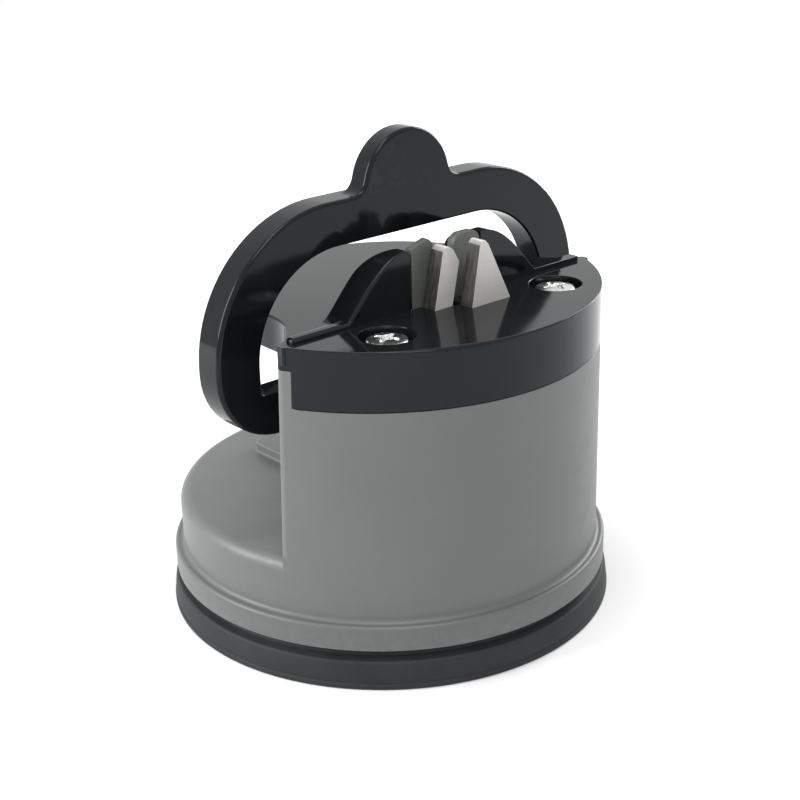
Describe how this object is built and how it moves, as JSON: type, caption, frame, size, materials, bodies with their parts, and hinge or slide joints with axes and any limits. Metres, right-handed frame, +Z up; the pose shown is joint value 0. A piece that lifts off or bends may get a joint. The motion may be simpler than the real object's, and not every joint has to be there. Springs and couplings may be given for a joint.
{
  "type": "knife sharpener",
  "caption": "Suction-base knife sharpener with crossed carbide plates, rounded finger guards and a ring lever that swings back to pull up the middle of the rubber cup.",
  "frame": {"origin": "centre of the rubber cup's underside, on the surface it stands on", "axes": "+Z up, -Y towards the curved front wall, +X along the line of the two cap screws"},
  "size_m": [0.0628, 0.0622, 0.066],
  "materials": {
    "grey_shell": "satin",
    "black_cap": "polished",
    "black_lever": "polished",
    "dark_holder": "moulded",
    "carbide": "ground",
    "dark_carbide": "ground",
    "bright_screw": "plated",
    "steel": "turned",
    "dark_steel": "blackened",
    "white_bush": "moulded",
    "black_rubber": "moulded"
  },
  "bodies": {
    "housing": {"suction_cup": "black_rubber", "base_shell": "grey_shell", "top_cap": "black_cap", "cap_screws": "bright_screw", "plate_holder": "dark_holder", "holder_screws": "steel", "right_front_plate": "carbide", "left_front_plate": "carbide", "right_rear_plate": "dark_carbide", "left_rear_plate": "dark_carbide", "stem_bush": "white_bush", "spring_washer": "steel", "wear_strips": "steel"},
    "stem": {"cup_stem": "steel", "cup_plate": "steel", "stem_eye": "steel", "pivot_pin": "steel", "pin_clip": "dark_steel", "return_spring": "steel"},
    "lever": {"lever_ring": "black_lever"}
  },
  "joints": [
    {"name": "stem_slide", "type": "slide", "parent": "housing", "child": "stem", "axis": [0, 0, 1], "range_m": [0, 0.0022], "deforming": ["return_spring"]},
    {"name": "lever_hinge", "type": "hinge", "parent": "stem", "child": "lever", "pos_m": [0, 0, 0.0226], "axis": [-1, 0, 0], "range_deg": [0, 92]}
  ],
  "couplings": [
    {"joint": "stem_slide", "follows": "lever_hinge", "m_per_rad": 0.00137}
  ]
}
